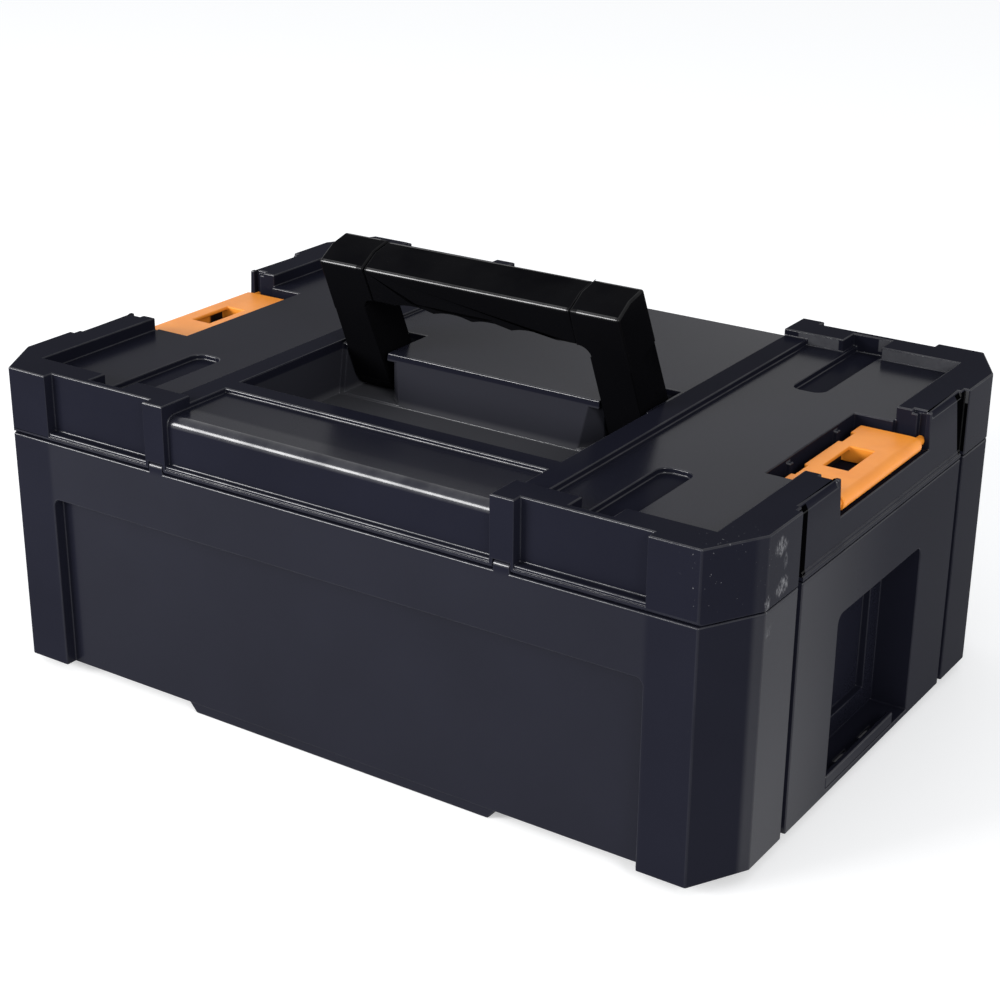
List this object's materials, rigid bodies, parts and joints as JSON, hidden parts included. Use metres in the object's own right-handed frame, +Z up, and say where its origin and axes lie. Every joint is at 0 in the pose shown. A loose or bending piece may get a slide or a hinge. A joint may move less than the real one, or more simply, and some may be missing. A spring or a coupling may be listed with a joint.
{
  "type": "hard tool case",
  "caption": "Stackable hard tool case with a hinged lid, a folding handle in a well, front latches and swing-out stacking latches.",
  "frame": {"origin": "middle of the case on the underside of its foot", "axes": "+Z up, +X along the long side, -Y towards the hinge side, +Y towards the opening side"},
  "size_m": [0.44, 0.323, 0.2293],
  "materials": {
    "shell": "fine-textured black polypropylene",
    "handle": "smooth black polypropylene",
    "latch": "orange polypropylene",
    "steel": "plain wire and screws"
  },
  "bodies": {
    "base": {"base_shell": "shell", "shelf_upstands": "shell", "hinge_rod": "steel", "front_latch_pin_left": "steel", "front_latch_pin_right": "steel"},
    "lid": {"lid_shell": "shell", "handle_pin_left": "steel", "handle_pin_right": "steel"},
    "handle": {"handle_grip": "handle", "handle_arm_left": "handle", "handle_arm_right": "handle", "handle_screws": "steel"},
    "stack_latch_l": {"stack_latch_left": "latch"},
    "stack_latch_r": {"stack_latch_right": "latch"},
    "front_latch_l": {"front_latch_left": "shell"},
    "front_latch_r": {"front_latch_right": "shell"}
  },
  "joints": [
    {"name": "lid_hinge", "type": "hinge", "parent": "base", "child": "lid", "pos_m": [0, -0.1553, 0.1379], "axis": [1, 0, 0], "range_deg": [0, 95]},
    {"name": "handle_hinge", "type": "hinge", "parent": "lid", "child": "handle", "pos_m": [0, 0.004, 0.1526], "axis": [1, 0, 0], "range_deg": [-38, 66]},
    {"name": "stack_hinge_left", "type": "hinge", "parent": "lid", "child": "stack_latch_l", "pos_m": [-0.2125, 0, 0.1562], "axis": [0, -1, 0], "range_deg": [0, 150]},
    {"name": "stack_hinge_right", "type": "hinge", "parent": "lid", "child": "stack_latch_r", "pos_m": [0.2125, 0, 0.1562], "axis": [0, 1, 0], "range_deg": [0, 150]},
    {"name": "front_hinge_left", "type": "hinge", "parent": "base", "child": "front_latch_l", "pos_m": [-0.14375, 0.1551, 0.1157], "axis": [-1, 0, 0], "range_deg": [-9, 81]},
    {"name": "front_hinge_right", "type": "hinge", "parent": "base", "child": "front_latch_r", "pos_m": [0.14375, 0.1551, 0.1157], "axis": [-1, 0, 0], "range_deg": [-9, 81]}
  ]
}
